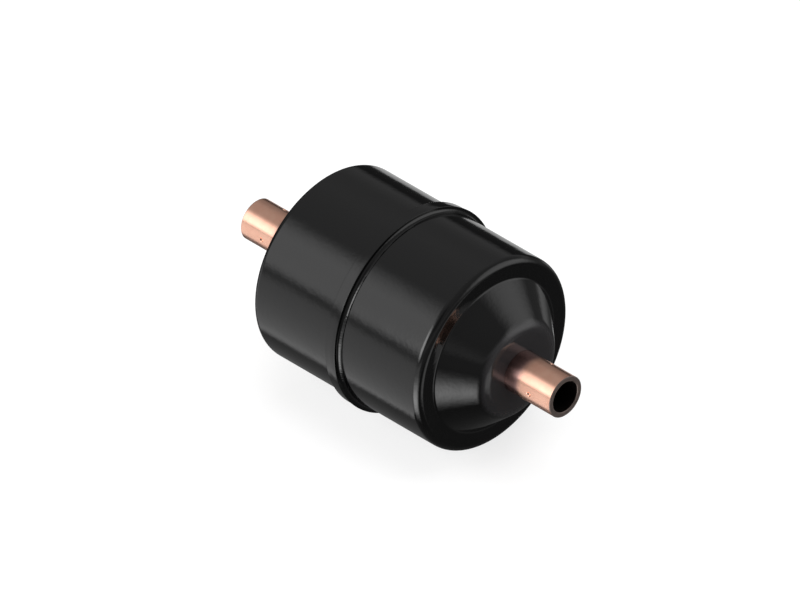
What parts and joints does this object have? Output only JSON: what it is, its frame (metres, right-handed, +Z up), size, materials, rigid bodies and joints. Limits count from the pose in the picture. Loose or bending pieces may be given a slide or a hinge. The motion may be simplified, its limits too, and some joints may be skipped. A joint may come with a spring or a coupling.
{
  "type": "filter drier",
  "caption": "Round welded steel filter drier with coned ends and a copper solder stub at each end, holding a spring-loaded desiccant core for a refrigerant liquid line.",
  "frame": {"origin": "on the axis, halfway between the flat shoulders of the two end cups, which is also the centre of the bounding box", "axes": "+X along the axis in the direction of flow, from the inlet stub to the outlet stub; +Z up with the drier lying level in its pipe run; Y across"},
  "size_m": [0.163, 0.0846, 0.0846],
  "materials": {
    "black_paint": "gloss",
    "copper": "satin",
    "braze_alloy": "satin",
    "spring_steel": "satin",
    "plated_steel": "satin",
    "stainless_mesh": "satin",
    "moulded_desiccant": "matte",
    "gasket_fibre": "matte",
    "glass_felt": "matte"
  },
  "bodies": {
    "root": {"inlet_shell": "black_paint", "outlet_shell": "black_paint", "girth_weld": "black_paint", "inlet_stub": "copper", "outlet_stub": "copper", "inlet_braze": "braze_alloy", "outlet_braze": "braze_alloy", "core_spring": "spring_steel", "spring_plate": "plated_steel", "outlet_plate": "plated_steel", "screen_ring": "plated_steel", "safety_screen": "stainless_mesh", "desiccant_core": "moulded_desiccant", "core_gasket": "gasket_fibre", "cushion_pad": "glass_felt", "filter_pad": "glass_felt"}
  },
  "joints": []
}
